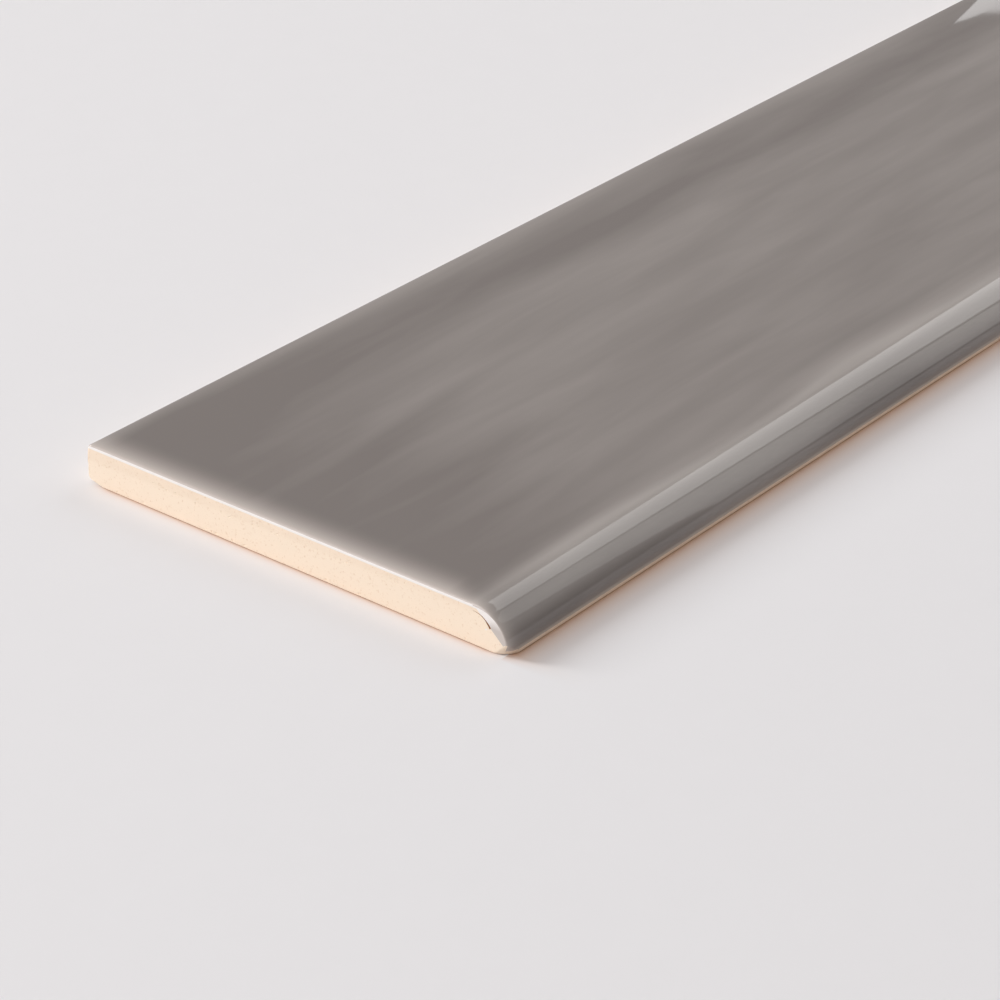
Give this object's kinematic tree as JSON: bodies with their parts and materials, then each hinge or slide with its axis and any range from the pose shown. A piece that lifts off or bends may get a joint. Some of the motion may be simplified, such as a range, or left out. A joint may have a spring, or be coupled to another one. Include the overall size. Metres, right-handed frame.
{
  "type": "bullnose tile",
  "caption": "Glazed ceramic wall trim tile with one quarter-round long edge, bare square ends and a keyed back, for finishing the free edge of tiling.",
  "frame": {"origin": "middle of the back, on the bed", "axes": "+X along the tile, -Y out of the rounded nose, +Z out of the glazed face"},
  "size_m": [0.4, 0.1, 0.0082],
  "materials": {
    "glazed_tile": "gloss"
  },
  "bodies": {
    "root": {"bullnose_tile": "glazed_tile"}
  },
  "joints": []
}
